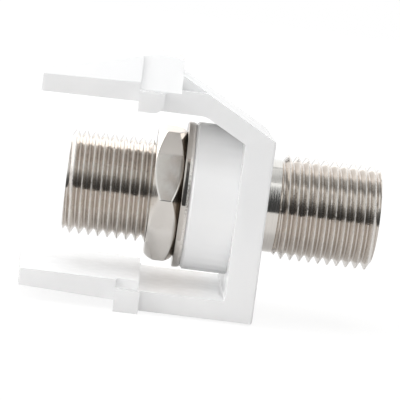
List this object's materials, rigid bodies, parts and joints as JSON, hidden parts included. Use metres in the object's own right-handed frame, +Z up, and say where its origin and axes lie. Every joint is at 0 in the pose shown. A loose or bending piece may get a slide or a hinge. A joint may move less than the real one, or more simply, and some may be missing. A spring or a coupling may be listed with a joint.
{
  "type": "f connector",
  "caption": "White snap-in wall-plate insert that holds a nickel-plated female-to-female F coaxial coupler, clamped from behind by a hex nut and a flat washer.",
  "frame": {"origin": "point where the coupler's axis crosses the plane of the insert's front face", "axes": "+X along the coupler's axis towards the user's side of the wall plate, +Z up towards the latch, +Y completes a right-handed frame across the insert"},
  "size_m": [0.0319, 0.0162, 0.0226],
  "materials": {
    "white_plastic": "satin moulded ABS",
    "plated_body": "bright nickel plate on turned brass",
    "plated_nut": "bright nickel plate on brass",
    "plated_washer": "nickel plate on stamped steel",
    "insulator": "natural moulded polypropylene",
    "contact": "phosphor bronze"
  },
  "bodies": {
    "root": {"housing": "white_plastic", "barrel": "plated_body", "hex_nut": "plated_nut", "washer": "plated_washer", "front_insulator": "insulator", "rear_insulator": "insulator", "centre_contact": "contact"}
  },
  "joints": []
}
